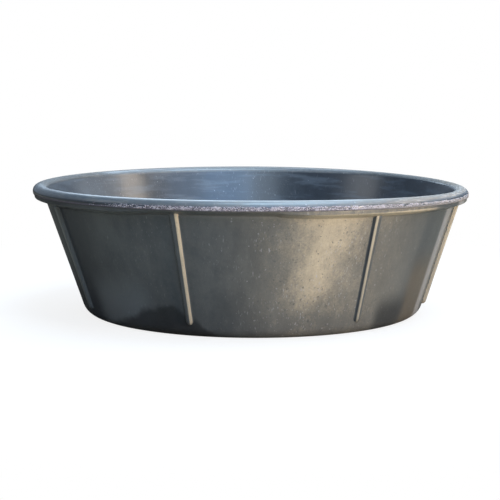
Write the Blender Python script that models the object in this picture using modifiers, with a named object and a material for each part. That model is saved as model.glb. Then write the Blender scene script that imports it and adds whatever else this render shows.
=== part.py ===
"""Rubber feed pan for livestock, moulded from layers of rubber and cord fabric.

Run with: blender --background --python part.py
Metres, +Z up. The origin is on the ground, at the middle of the flat base.
The plain panel between two ribs, wider than the others, faces -Y.

A profile is a list of (radius, height) points in the pan's section. It runs clockwise:
over the top, down the outer side, in along the bottom and up the inner side.
"""

import math
from typing import NamedTuple

import bmesh
import bpy
from mathutils import Matrix, Vector

# Overall size
RIM_RADIUS = 0.2795
HEIGHT = 0.165
BASE_RADIUS = 0.216
CORNER_RADIUS = 0.018

# Layers of the wall and floor, from the outside in
COVER = 0.0023
PLY = 0.0012
LINER = 0.0021
BOND = 0.0003

# Rolled rim, from its crown down to the wall
DOME_HEIGHT = 0.008
TRIMMED_BAND = 0.0015
LOWER_LIP = 0.0052
UNDERSIDE_FALL = 0.005
RIM_OVERHANG = 0.0169
CORD_RECESS = 0.0005
LOWER_LIP_SETBACK = 0.002
LOWER_LIP_DRAFT = 0.0008
LOWER_LIP_ROUND = 0.0025
UNDERSIDE_FILLET = 0.002

# Where each layer's floor disc meets its wall strip, in from the foot of the corner
COVER_SEAM_IN = 0.004
PLY_SEAM_IN = 0.009
LINER_SEAM_IN = 0.014

# Ribs on the outside of the wall
RIB_COUNT = 8
FRONT_PANEL = math.radians(52.5)
RIB_HEIGHT = 0.0043
RIB_TOP_WIDTH = 0.0108
RIB_FOOT_WIDTH = 0.0076
RIB_FOOT_GAP = 0.0036
RIB_END_LENGTH = 0.006
RIB_END_BLUNTNESS = math.radians(15)
RIB_DRAFT = 0.28
RIB_SHOULDER = 0.0011
RIB_ROOT = 0.0015

# Smoothness of the mesh
TURN_STEPS = 64
CORNER_STEPS = 4
FILLET_STEPS = 2
DOME_STEPS = 10
RIB_END_STEPS = 4
SHARP_ANGLE = math.radians(35)
MERGE_DISTANCE = 0.00001

# Levels in the rim, worked down from the crown
DOME_LEVEL = HEIGHT - DOME_HEIGHT
BAND_LEVEL = DOME_LEVEL - TRIMMED_BAND
PLY_TOP_LEVEL = BAND_LEVEL - BOND
PLY_UNDER_LEVEL = PLY_TOP_LEVEL - PLY
COVER_TOP_LEVEL = PLY_UNDER_LEVEL - BOND
LIP_LEVEL = COVER_TOP_LEVEL - LOWER_LIP
WALL_TOP_LEVEL = LIP_LEVEL - UNDERSIDE_FALL

# Slope of the wall, out from the ground to the underside of the rim
WALL_RISE = Vector((RIM_RADIUS - RIM_OVERHANG - BASE_RADIUS, WALL_TOP_LEVEL)).normalized()
WALL_OUT = Vector((WALL_RISE.y, -WALL_RISE.x))

# Depths of the layers' faces, in from the outer face of the wall and up from the ground
PLY_OUTER = COVER + BOND
PLY_INNER = PLY_OUTER + PLY
LINER_OUTER = PLY_INNER + BOND
LINER_INNER = LINER_OUTER + LINER

# Ends of the rounded corner: its foot on the flat base and its top on the wall
CORNER_REACH = CORNER_RADIUS * math.tan(WALL_RISE.angle(Vector((1, 0))) / 2)
CORNER_FOOT = BASE_RADIUS - CORNER_REACH
CORNER_TOP = CORNER_REACH * WALL_RISE.y
RIB_FOOT_LEVEL = CORNER_TOP + RIB_FOOT_GAP


class Corner(NamedTuple):
    """A corner of a profile, and the radius of its round if it has one."""

    r: float
    z: float
    fillet: float = 0
    steps: int = FILLET_STEPS


def wall_radius(depth, level):
    """Radius, at a level, of the face that lies this deep inside the wall."""
    return BASE_RADIUS + (level * WALL_RISE.x - depth) / WALL_RISE.y


def rounded(corners):
    """Points of the line through these corners, with an arc in place of each filleted one."""
    points = []
    places = [Vector((corner.r, corner.z)) for corner in corners]
    for index, (corner, place) in enumerate(zip(corners, places)):
        if not corner.fillet:
            points.append(place)
            continue
        before = (places[index - 1] - place).normalized()
        after = (places[index + 1] - place).normalized()
        half = before.angle(after) / 2
        reach = corner.fillet / math.tan(half)
        centre = place + (before + after).normalized() * corner.fillet / math.sin(half)
        spoke = place + before * reach - centre
        turn = spoke.angle_signed(place + after * reach - centre)
        for step in range(corner.steps + 1):
            points.append(centre + Matrix.Rotation(-turn * step / corner.steps, 2) @ spoke)
    return points


def dome(depth, steps=DOME_STEPS):
    """Half ellipse over the rim this deep inside its skin, from the bore side outwards."""
    inner = wall_radius(LINER_INNER - depth, DOME_LEVEL)
    outer = RIM_RADIUS - depth
    middle, half = (inner + outer) / 2, (outer - inner) / 2
    angles = [math.pi * (1 - step / steps) for step in range(steps + 1)]
    return [
        Vector((middle + half * math.cos(a), DOME_LEVEL + (DOME_HEIGHT - depth) * math.sin(a)))
        for a in angles
    ]


def wall_line(depth, top_level, seam):
    """Corners down a face of the wall and in along the floor as far as the seam."""
    return [
        Corner(wall_radius(depth, top_level), top_level),
        Corner(wall_radius(depth, depth), depth, CORNER_RADIUS - depth, CORNER_STEPS),
        Corner(seam, depth),
    ]


def outer_face(clearance):
    """Corners of the pan's outer face from the lower lip to the ground, moved outwards."""
    lip_radius = RIM_RADIUS - LOWER_LIP_SETBACK
    places = [
        Vector((lip_radius, COVER_TOP_LEVEL)),
        Vector((lip_radius - LOWER_LIP_DRAFT, LIP_LEVEL)),
        Vector((wall_radius(0, WALL_TOP_LEVEL), WALL_TOP_LEVEL)),
        Vector((BASE_RADIUS, 0)),
        Vector((0, 0)),
    ]
    sides = []
    for start, end in zip(places, places[1:]):
        run = (end - start).normalized()
        sides.append(Vector((-run.y, run.x)))
    moved = [places[0] + sides[0] * clearance]
    for before, after, place in zip(sides, sides[1:], places[1:]):
        moved.append(place + (before + after) * clearance / (1 + before.dot(after)))
    top, lip, underside, foot = moved
    return [
        Corner(*top),
        Corner(*lip, LOWER_LIP_ROUND + clearance),
        Corner(*underside, UNDERSIDE_FILLET - clearance),
        Corner(*foot, CORNER_RADIUS + clearance, CORNER_STEPS),
    ]


def material(name, colour, roughness):
    made = bpy.data.materials.new(name)
    made.use_nodes = True
    shader = made.node_tree.nodes["Principled BSDF"]
    shader.inputs["Base Color"].default_value = (*colour, 1)
    shader.inputs["Roughness"].default_value = roughness
    shader.inputs["Metallic"].default_value = 0
    return made


def add_object(name, mesh, collection, parent=None):
    obj = bpy.data.objects.new(name, mesh)
    collection.objects.link(obj)
    obj.parent = parent
    return obj


def turned(name, profile, collection, parent=None, closed=True):
    """A profile turned round the Z axis. An open profile starts and ends on the axis."""
    mesh = bpy.data.meshes.new(name)
    edges = [(i, i + 1) for i in range(len(profile) - 1)]
    if closed:
        edges.append((len(profile) - 1, 0))
    mesh.from_pydata([(r, 0, z) for r, z in profile], edges, [])
    obj = add_object(name, mesh, collection, parent)
    screw = obj.modifiers.new("Turn", "SCREW")
    screw.steps = screw.render_steps = TURN_STEPS
    screw.use_merge_vertices = True
    screw.merge_threshold = MERGE_DISTANCE
    return obj


def wall_cover(collection, parent):
    """Outer rubber of the wall, with the lower half of the rim and the rounded foot."""
    seam = CORNER_FOOT - COVER_SEAM_IN
    face = outer_face(0) + [Corner(seam, 0)]
    back = wall_line(COVER, COVER_TOP_LEVEL, seam)[::-1]
    return turned("wall_cover", rounded(face + back), collection, parent)


def wall_cord_ply(collection, parent):
    """Cord fabric in the wall, turned out at the top so that its cut edge shows."""
    seam = CORNER_FOOT - PLY_SEAM_IN
    edge = RIM_RADIUS - CORD_RECESS
    flange = [Corner(edge, PLY_TOP_LEVEL), Corner(edge, PLY_UNDER_LEVEL)]
    face = wall_line(PLY_OUTER, PLY_UNDER_LEVEL, seam)
    back = wall_line(PLY_INNER, PLY_TOP_LEVEL, seam)[::-1]
    return turned("wall_cord_ply", rounded(flange + face + back), collection, parent)


def wall_liner(collection, parent):
    """Inner rubber of the wall, carried over the rim to the trimmed band."""
    seam = CORNER_FOOT - LINER_SEAM_IN
    over = dome(0)
    band = [Vector((RIM_RADIUS, BAND_LEVEL)), Vector((RIM_RADIUS - LINER, BAND_LEVEL))]
    under = dome(LINER)[::-1]
    face = rounded(wall_line(LINER_OUTER, DOME_LEVEL, seam))[1:]
    bore = rounded(wall_line(LINER_INNER, DOME_LEVEL, seam))[1:]
    return turned("wall_liner", over + band + under + face + bore[::-1], collection, parent)


def rim_filler(collection, parent):
    """Solid rubber strip that fills the rim between the cord flange and the liner."""
    over = dome(LINER + BOND)
    foot = [
        Vector((RIM_RADIUS - LINER - BOND, BAND_LEVEL)),
        Vector((wall_radius(PLY_INNER, BAND_LEVEL), BAND_LEVEL)),
    ]
    return turned("rim_filler", over + foot, collection, parent)


def floor_disc(name, seam_in, under, over, collection, parent):
    """One layer of the floor, a flat disc that ends just short of its wall strip."""
    radius = CORNER_FOOT - seam_in - BOND
    profile = [(0, over), (radius, over), (radius, under), (0, under)]
    return turned(name, profile, collection, parent, closed=False)


def rib_blank(root_depth):
    """Mesh of one rib at +X, lofted up the wall. Its root runs into the wall."""
    foot = Vector((wall_radius(0, RIB_FOOT_LEVEL), RIB_FOOT_LEVEL))
    length = (DOME_LEVEL - RIB_FOOT_LEVEL) / WALL_RISE.y
    stations = []
    for step in range(RIB_END_STEPS + 1):
        turn = RIB_END_BLUNTNESS + (math.pi / 2 - RIB_END_BLUNTNESS) * step / RIB_END_STEPS
        stations.append((RIB_END_LENGTH * (1 - math.cos(turn)), math.sin(turn)))
    stations.append((length, 1))
    mesh = bmesh.new()
    rings = []
    for along, fullness in stations:
        width = RIB_FOOT_WIDTH + (RIB_TOP_WIDTH - RIB_FOOT_WIDTH) * along / length
        half = width * fullness / 2
        height = RIB_HEIGHT * fullness
        crest = half - RIB_DRAFT * height
        shoulder = min(RIB_SHOULDER, height / 2, crest / 2)
        side = [
            (half + RIB_DRAFT * root_depth, -root_depth),
            (crest + RIB_DRAFT * shoulder, height - shoulder),
            (crest - shoulder, height),
        ]
        section = side + [(-across, out) for across, out in reversed(side)]
        ring = []
        for across, out in section:
            place = foot + WALL_RISE * along + WALL_OUT * out
            ring.append(mesh.verts.new((place.x, across, place.y)))
        rings.append(ring)
    for lower, upper in zip(rings, rings[1:]):
        for i in range(len(lower)):
            j = (i + 1) % len(lower)
            mesh.faces.new((lower[i], lower[j], upper[j], upper[i]))
    mesh.faces.new(rings[0][::-1])
    mesh.faces.new(rings[-1])
    bmesh.ops.recalc_face_normals(mesh, faces=mesh.faces)
    made = bpy.data.meshes.new("rib")
    mesh.to_mesh(made)
    mesh.free()
    return made


def rib_angles():
    """Directions of the ribs: two beside the front panel, the rest evenly round the back."""
    step = (2 * math.pi - FRONT_PANEL) / (RIB_COUNT - 1)
    first = -math.pi / 2 + FRONT_PANEL / 2
    return [first + step * index for index in range(RIB_COUNT)]


def ribs(collection, cutters, parent):
    """The ribs, each cut back to sit on the wall and under the rim."""
    *face, foot = outer_face(BOND)
    top = [Corner(0, HEIGHT), Corner(face[0].r, HEIGHT)]
    bottom = [Corner(foot.r, foot.z), Corner(0, foot.z)]
    seat = turned("rib_seat", rounded(top + face + bottom), cutters, closed=False)
    seat.hide_render = True
    seat.display_type = "WIRE"
    blank = rib_blank(RIB_ROOT)
    made = []
    for index, angle in enumerate(rib_angles()):
        rib = add_object(f"rib_{index + 1}", blank, collection, parent)
        rib.rotation_euler.z = angle
        cut = rib.modifiers.new("Seat on wall", "BOOLEAN")
        cut.operation = "DIFFERENCE"
        cut.solver = "EXACT"
        cut.object = seat
        made.append(rib)
    return made


def finish(objects):
    """Keeps each object's modified mesh, shaded smooth between its sharp edges."""
    bpy.context.view_layer.update()
    graph = bpy.context.evaluated_depsgraph_get()
    meshes = [bpy.data.meshes.new_from_object(obj.evaluated_get(graph)) for obj in objects]
    for obj, mesh in zip(objects, meshes):
        obj.modifiers.clear()
        obj.data = mesh
        mesh.name = obj.name
        mesh.shade_smooth()
        mesh.set_sharp_from_angle(angle=SHARP_ANGLE)


def main():
    for obj in list(bpy.data.objects):
        bpy.data.objects.remove(obj, do_unlink=True)
    scene = bpy.context.scene
    pan = bpy.data.collections.new("rubber_feed_pan")
    cutters = bpy.data.collections.new("cutters")
    scene.collection.children.link(pan)
    scene.collection.children.link(cutters)
    root = add_object("pan_axis", None, pan)

    cover = material("cover_rubber", (0.030, 0.032, 0.034), 0.42)
    liner = material("liner_rubber", (0.036, 0.040, 0.046), 0.36)
    filler = material("filler_rubber", (0.022, 0.022, 0.023), 0.6)
    cord = material("cord_fabric", (0.42, 0.38, 0.36), 0.85)
    rib_rubber = material("rib_rubber", (0.034, 0.035, 0.035), 0.40)

    parts = {
        wall_cover(pan, root): cover,
        floor_disc("base_cover", COVER_SEAM_IN, 0, COVER, pan, root): cover,
        wall_cord_ply(pan, root): cord,
        floor_disc("floor_cord_ply", PLY_SEAM_IN, PLY_OUTER, PLY_INNER, pan, root): cord,
        wall_liner(pan, root): liner,
        floor_disc("floor_liner", LINER_SEAM_IN, LINER_OUTER, LINER_INNER, pan, root): liner,
        rim_filler(pan, root): filler,
    }
    for rib in ribs(pan, cutters, root):
        parts[rib] = rib_rubber
    finish(list(parts))
    for obj, rubber in parts.items():
        obj.data.materials.append(rubber)


main()
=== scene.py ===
"""Looks of a moulded rubber feed pan: fine mouldings, cut cord edge, ribs, materials and studio.

Metres, +Z up. The pan's origin is on the ground, at the middle of its base.
Directions round the pan are angles from -Y, growing towards +X.
A profile is a list of (radius, height) points. It runs clockwise in the pan's section:
over the top, down the outer side, in along the bottom and up the inner side.
"""

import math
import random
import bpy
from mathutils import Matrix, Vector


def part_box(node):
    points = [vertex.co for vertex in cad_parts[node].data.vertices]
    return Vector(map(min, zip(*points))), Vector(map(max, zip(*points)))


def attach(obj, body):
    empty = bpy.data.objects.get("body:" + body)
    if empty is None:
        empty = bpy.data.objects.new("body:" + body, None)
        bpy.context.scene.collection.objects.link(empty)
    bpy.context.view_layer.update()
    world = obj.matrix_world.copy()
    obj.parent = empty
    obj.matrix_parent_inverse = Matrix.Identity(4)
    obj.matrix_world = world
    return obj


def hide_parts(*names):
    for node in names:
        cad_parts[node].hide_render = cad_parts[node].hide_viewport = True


bl_info = {
    "name": "Rubber feed pan",
    "version": (1, 0, 0),
    "blender": (4, 5, 0),
    "location": "3D View > Sidebar > Feed pan",
    "description": "Moulded rubber feed pan with a cut cord edge, outside ribs and a plain studio",
    "category": "Add Mesh",
}

from typing import NamedTuple

import bpy
from bpy.props import FloatProperty, FloatVectorProperty, IntProperty, PointerProperty
from mathutils import Matrix, Vector, noise

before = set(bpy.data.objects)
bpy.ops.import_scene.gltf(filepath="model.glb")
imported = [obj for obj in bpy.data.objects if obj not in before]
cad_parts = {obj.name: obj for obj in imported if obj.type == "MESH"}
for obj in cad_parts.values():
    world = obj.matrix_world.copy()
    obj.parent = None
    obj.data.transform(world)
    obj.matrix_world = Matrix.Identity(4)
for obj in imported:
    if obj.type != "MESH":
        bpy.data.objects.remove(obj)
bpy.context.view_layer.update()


class Side(NamedTuple):
    """One side of the pan, in degrees: its direction, how far either way it is whole, and where it ends."""

    direction: float
    whole: float
    end: float


class Mark(NamedTuple):
    """A mark on one side of the pan, and its strength at two levels and between them."""

    side: Side
    low: float
    high: float
    at_low: float
    at_high: float


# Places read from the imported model
RIM_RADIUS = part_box("wall_liner")[1].x
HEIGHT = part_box("wall_liner")[1].z
LIP_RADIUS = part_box("wall_cover")[1].x
LIP_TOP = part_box("wall_cover")[1].z
CORD_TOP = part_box("wall_cord_ply")[1].z
COVER_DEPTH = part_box("base_cover")[1].z
CORD_DEPTHS = (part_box("floor_cord_ply")[0].z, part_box("floor_cord_ply")[1].z)
LINER_DEPTHS = (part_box("floor_liner")[0].z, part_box("floor_liner")[1].z)
FILLER_LEVELS = (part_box("rim_filler")[0].z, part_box("rim_filler")[1].z)

# Fineness of the meshes
TURN_STEPS = 512
HIDDEN_TURN_STEPS = 192
CUT_EDGE_STEPS = 1600
CUT_EDGE_ROWS = 13
ARC_STEPS = 8
DOME_STEPS = 28
RIB_FOOT_STEPS = 10
RIB_BODY_STEPS = 26
LONGEST_EDGE = 0.006
ON_AXIS = 0.0001

# The rim sinks most on either side of this direction
SAG_DIRECTION = math.radians(-7.6)

# The soft wall draws in by this share of the flex, and by waves: (round the pan, up it, start, share)
EVEN_FLEX = 0.55
WAVES = ((1.6, 5, 3, 0.45), (5, 14, 0, 0.12))

# The lower lip: how far its top face reaches in, its draft, and its rounds from the top down
LIP_FACE = 0.0012
LIP_DRAFT = 0.0008
LIP_EDGE_ROUND = 0.0006
LIP_CORNER_ROUND = 0.0025
UNDER_RIM_ROUND = 0.002

# The lower lip is cut closest here: wholly within the first angle, and not at all past the second
TRIM_DIRECTION = math.radians(-17)
TRIM_REACH = (math.radians(9), math.radians(27))

# The closer cut starts this far below the rim's underside. It comes in and fades out over these heights.
TRIM_DROP = 0.012
TRIM_RUN_IN = 0.010
TRIM_RUN_OUT = 0.0045

# How far the torn trimmed edge may stand out of the smooth rim
TEAR_DEPTH = 0.0006

# Tears of the trimmed edge: (waves along it, waves added up it, depth)
TEARS = ((260, 800, 0.00036), (900, 2600, 0.00028))

# The trimmed edge laps over the rubber by this much, and its tears fade within this much of its borders
LAP = 0.0001
TEAR_FADE = 0.0008

# The inner rubber's trimmed edge lies this far below the dome's foot, and the cord's this far inside the rim
LINER_EDGE_DROP = 0.0012
CORD_INSET = 0.0012

# How far from the corner between bore and dome the rubber starts to round over
BORE_CORNER_REACH = 0.003

# Cut cord ends: their rows over the cord fabric, their sides, and the seed of their scatter
CORD_END_ROWS = (0.0015, 0.0005, 0.0026)
CORD_END_SIDES = 6
CORD_END_SEED = 11

# How the cord ends differ: the spread of their levels, half their size along and up the edge,
# how far inside the rim their tips stay, and how far they lean
CORD_END_SPREAD = 0.00045
CORD_END_WIDTHS = (0.00035, 0.0010)
CORD_END_DEPTHS = (0.00025, 0.0006)
CORD_END_TIPS = (0.00004, 0.0005)
CORD_END_LEANS = (-0.0007, 0.0007)

# A rib's rounded foot: its length, and where on a quarter circle its curve starts and how far it turns
RIB_FOOT_LENGTH = 0.006
RIB_FOOT_START = math.radians(9)
RIB_FOOT_TURN = math.radians(81)

# A rib ends this far below the lower lip, and follows this share of its closer cut
RIB_END_GAP = 0.001
RIB_TRIM_SHARE = 0.9

# The flank of each rib that faces this way, the lit side, is painted pale: dust, and painted light
DUSTY_LIT_SIDE = math.radians(48)

# How pale a rib is painted across its section with dust and painted light: (share of half its width, paint)
# from left to right
DUST_AND_LIGHT_ON_FLANK = ((0.32, 0.0), (0.42, 1.0), (0.96, 1.0), (1.0, 0.0))
DUST_AND_LIGHT_OVER_CREST = ((-0.9, 0.0), (-0.78, 0.66), (-0.3, 0.66), (-0.1, 0.4), (0.96, 0.4), (1.0, 0.0))

# Sides of the pan that the finishes differ on
FRONT_SIDE = Side(0, 20, 52)
YARD_SIDE = Side(40, 30, 60)
PAINTED_SHADE_SIDE = Side(-92, 24, 44)
# A painted highlight: this thin strip on the right of the wall is painted in the pale scuff colour
PAINTED_HIGHLIGHT_STRIP = Side(62, 1, 4)
SCUFFED_RIM = Side(62, 22, 48)
# The far side of the rim towards these sides is painted in shade and made rougher
DULL_SHADED_LEFT = Side(-105, 25, 38)
DULL_SHADED_RIGHT = Side(105, 20, 45)
# Ribs on this side take dust and painted light on their pale flank
DUSTY_LIT_RIBS = Side(20, 58, 84)
TIDY_EDGE = Side(-78, 20, 38)
DUSTY_EDGE = Side(62, 14, 58)

# Marks on the outer rubber, some of them painted light and shade
# Dust under the rim, with painted warm bounce light from the ground
UNDER_RIM_DUST_AND_BOUNCE = Mark(Side(25, 12, 27), 0.1418, 0.1436, 0.0, 0.75)
SMEAR = Mark(Side(54, 4, 9), 0.06, 0.10, 0.6, 0.0)
# A dark patch near the foot, right of the front
DARK_FOOT_PATCH = Mark(Side(41, 3, 9), 0.022, 0.052, 0.7, 0.0)
# Painted shade: a narrow upright strip right of the front, from a little above the foot, keeps the clean
# dark rubber colour and no dust
PAINTED_SHADE_STRIP = Mark(Side(53, 3, 8), 0.05, 0.08, 0.0, 0.85)
# A painted reflection: a paler streak low on the wall left of the front, where it shows the bright ground
PAINTED_REFLECTION_STREAK = Mark(Side(-50, 5, 15), 0.03, 0.08, 0.6, 0.0)

# Levels between which a finish changes
LIP_BAND = (0.1482, 0.1492)
UNDER_RIM_FILL_BAND = (0.1435, 0.1455)
DUST_BAND = (0.0, 0.06)
FILM_BAND = (0.0, 0.05)
PATCH_BAND = (0.02, 0.06)
RIM_BAND = (0.1570, 0.1595)
BORE_BAND = (0.006, 0.035)
RIB_BAND = (0.02, 0.15)
FIBRE_BAND = (0.1536, 0.1546)

# Depths of the fine relief
GRAIN_DEPTH = 0.0005
TORN_DEPTH = 0.0006
FRAY_DEPTH = 0.0003

# Colours of marks, worn rubber and painted light and shade, in linear light
# Painted fill light for the recess under the rim
UNDER_RIM_FILL_GREY = (0.12, 0.12, 0.12)
# Painted shade on the left side of the wall
PAINTED_SHADE_BLACK = (0.016, 0.019, 0.027)
# Painted reflection low on the left of the wall
PAINTED_REFLECTION_GREY = (0.17, 0.18, 0.19)
SMEAR_BROWN = (0.085, 0.062, 0.040)
# Painted reflection of the pan's shadow at the foot, also used for the dark patch near the foot
SHADOW_REFLECTION_AND_PATCH_BLACK = (0.012, 0.013, 0.016)
WIPED_GREY = (0.080, 0.100, 0.125)
RIM_GREY = (0.12, 0.14, 0.16)
# Painted shade on the rim's far side
FAR_RIM_SHADE_BLACK = (0.014, 0.016, 0.018)
RIM_DUST = (0.20, 0.16, 0.13)
DARK_LINE = (0.065, 0.055, 0.045)
PALE_LINE = (0.42, 0.38, 0.35)
TORN_DARK = (0.035, 0.030, 0.036)
TORN_PALE = (0.16, 0.14, 0.17)
EDGE_DUST = (0.20, 0.185, 0.18)
CORD_DUST = (0.23, 0.215, 0.20)
CORD_DIRT = (0.20, 0.17, 0.18)
FILLER_BLACK = (0.022, 0.022, 0.023)
FILLER_BLOOM = (0.05, 0.05, 0.05)

# Colours of the studio's light, in linear light
WARM = (1.0, 0.87, 0.70)
AMBER = (1.0, 0.86, 0.70)
COOL = (0.36, 0.60, 1.0)
BLUE = (0.60, 0.82, 1.0)
PALE = (0.70, 0.85, 1.0)
PALEST = (0.85, 0.92, 1.0)
NEUTRAL = (0.95, 0.98, 1.0)
SKY = (0.66, 0.80, 1.0)
WHITE = (1, 1, 1)
WARM_GROUND = (0.42, 0.36, 0.28)
REFLECTED_GROUND = (0.18, 0.155, 0.12)

# Lamps: (name, turn, elevation, distance, size, power, colour), with their angles in degrees.
# The low lamp turns on from its own direction, and the others from the cool lamp's.
LOW_LAMP = ("low_lamp", 0, 9, 2.4, (0.35, 0.35), 46, WARM)
OTHER_LAMPS = (
    ("sky_lamp", 0, 30, 2.1, (0.97, 1.2), 12.5, COOL),
    ("sky_lamp_right", 27, 30, 2.1, (1.0, 1.2), 5, COOL),
    ("sky_lamp_left", -23.5, 30, 2.1, (0.75, 1.2), 6, PALE),
    ("side_lamp", 71, 30, 2.2, (0.55, 0.9), 9, AMBER),
    ("far_side_lamp", 103, 30, 2.2, (1.6, 0.9), 6.5, PALEST),
    ("streak_lamp", -97, 30, 2.2, (0.8, 0.9), 3.4, NEUTRAL),
    ("rear_lamp", 155, 42, 2.2, (2.2, 1.4), 44, PALE),
    ("top_lamp", 30, 74, 2.0, (1.5, 1.1), 57, BLUE),
)
LAMP_AIM = Vector((0, 0, 0.08))

# The floor's reach and the distances between which it fades to white, and the camera's sensor in millimetres
FLOOR_REACH = 40
FLOOR_FADE = (0.25, 0.8)
SENSOR_WIDTH = 36


def length_setting(name, description, default):
    return FloatProperty(name=name, description=description, default=default, unit="LENGTH")


def angle_setting(name, description, degrees):
    default = math.radians(degrees)
    return FloatProperty(name=name, description=description, default=default, subtype="ANGLE")


def colour_setting(name, description, default):
    return FloatVectorProperty(name=name, description=description, default=default, size=3, subtype="COLOR")


class FeedPanSizes(bpy.types.PropertyGroup):
    """Sizes of the pan."""

    rim_radius: length_setting("Rim radius", "Outer radius of the rolled rim", RIM_RADIUS)
    height: length_setting("Height", "From the ground to the crown of the rim", HEIGHT)
    base_radius: length_setting(
        "Base radius", "Radius where the line of the wall would meet the ground", 0.216
    )
    corner_radius: length_setting("Corner radius", "Round between the wall and the base", 0.018)
    dome_height: length_setting("Dome height", "Height of the rim's rounded top", 0.008)
    lip_level: length_setting("Lip level", "Height of the lower lip's bottom edge", 0.1485)
    under_rim_level: length_setting(
        "Under-rim level", "Height at which the wall meets the rim's underside", 0.1435
    )
    rim_overhang: length_setting(
        "Rim overhang", "How far the rim reaches out past the wall below it", 0.0169
    )
    rib_count: IntProperty(name="Ribs", description="Number of ribs on the wall", default=8, min=2)
    front_panel: angle_setting("Front panel", "Angle between the two ribs at the front", 52.5)
    rib_height: length_setting("Rib height", "How far a rib stands out of the wall", 0.0043)
    rib_top_width: length_setting("Rib width at the top", "Width of a rib just under the rim", 0.0104)
    rib_foot_width: length_setting("Rib width at the foot", "Width of a rib at its lower end", 0.0074)
    rib_foot_level: length_setting("Rib foot level", "Height of a rib's lower end", 0.016)
    sag_left: length_setting(
        "Sag at the left", "How far the rim sinks under its own weight at the left", 0.0015
    )
    sag_right: length_setting(
        "Sag at the right", "How far the rim sinks under its own weight at the right", 0.0046
    )
    foot_draw: length_setting(
        "Foot draw", "How far the soft foot draws in where the pan stands", 0.0024
    )
    rim_draw: length_setting("Rim draw", "How far the soft rim draws in all round", 0.0022)
    side_draw_left: length_setting(
        "Side draw at the left", "How much further the pan draws in at the left", 0.0020
    )
    side_draw_right: length_setting(
        "Side draw at the right", "How much further the pan draws in at the right", 0.0010
    )
    foot_lean: length_setting("Foot lean", "How far the soft foot stands off to the right", 0.0031)
    flex: length_setting("Flex", "How far the soft wall draws in, in waves round the pan", 0.0006)
    lip_trim: length_setting(
        "Lip trim", "How much more of the lower lip is cut away left of the front", 0.0036
    )
    cord_pitch: length_setting("Cord pitch", "Distance between cut cord ends along the rim", 0.0021)


class FeedPanColours(bpy.types.PropertyGroup):
    """Colours of the rubber, dust and cord, in linear light."""

    cover: colour_setting("Outer rubber", "Clean rubber outside", (0.046, 0.052, 0.058))
    bloom: colour_setting("Bloom", "Grey film on the aged rubber", (0.120, 0.122, 0.120))
    liner: colour_setting("Inner rubber", "Clean rubber inside", (0.014, 0.018, 0.025))
    liner_bloom: colour_setting("Inner bloom", "Grey film inside the pan", (0.038, 0.048, 0.061))
    # The dust colour is also used for painted reflection, painted bounce light and painted light on the ribs
    dust: colour_setting("Dust", "Dry earth on the wall", (0.56, 0.45, 0.31))
    chalk: colour_setting("Scuffs", "Pale scuffed rubber", (0.34, 0.33, 0.35))
    cord: colour_setting("Cord", "Cut ends of the cord", (0.45, 0.40, 0.43))
    floor: colour_setting("Studio floor", "Plain floor under the pan", (0.90, 0.90, 0.90))


class FeedPanStudio(bpy.types.PropertyGroup):
    """Camera and lamps. Directions are from -Y, growing towards +X."""

    camera_direction: angle_setting("Camera direction", "Direction of the camera from the pan", -7.3)
    camera_distance: length_setting("Camera distance", "Level distance from the pan's axis", 1.877)
    camera_height: length_setting("Camera height", "Height of the lens over the ground", 0.315)
    camera_pitch: angle_setting("Camera pitch", "How far the camera looks down", 7.24)
    camera_roll: angle_setting("Camera roll", "How far the camera leans", -0.2)
    lens: FloatProperty(
        name="Lens", description="Focal length for a sensor 36 mm wide, in millimetres",
        default=106.3, unit="CAMERA",
    )
    key_direction: angle_setting("Low lamp direction", "Direction of the low warm lamp", 41)
    sky_direction: angle_setting("Cool lamp direction", "Direction of the large cool lamp", 9.4)


class Corner(NamedTuple):
    """A corner of a profile, and the radius of its round if it has one."""

    radius: float
    level: float
    fillet: float = 0


def rounded(corners):
    """Points of the line through these corners, with an arc in place of each filleted one."""
    points = []
    places = [Vector((corner.radius, corner.level)) for corner in corners]
    for index, (corner, place) in enumerate(zip(corners, places)):
        if not corner.fillet:
            points.append(place)
            continue
        before = (places[index - 1] - place).normalized()
        after = (places[index + 1] - place).normalized()
        half = before.angle(after) / 2
        reach = corner.fillet / math.tan(half)
        centre = place + (before + after).normalized() * corner.fillet / math.sin(half)
        spoke = place + before * reach - centre
        turn = spoke.angle_signed(place + after * reach - centre)
        for step in range(ARC_STEPS + 1):
            points.append(centre + Matrix.Rotation(-turn * step / ARC_STEPS, 2) @ spoke)
    return points


def divided(points, longest=LONGEST_EDGE):
    """The same line with points added, so that no stretch of it is longer than this."""
    line = [points[0]]
    for start, end in zip(points, points[1:]):
        pieces = max(1, math.ceil((end - start).length / longest))
        line += [start.lerp(end, step / pieces) for step in range(1, pieces + 1)]
    return line


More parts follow.
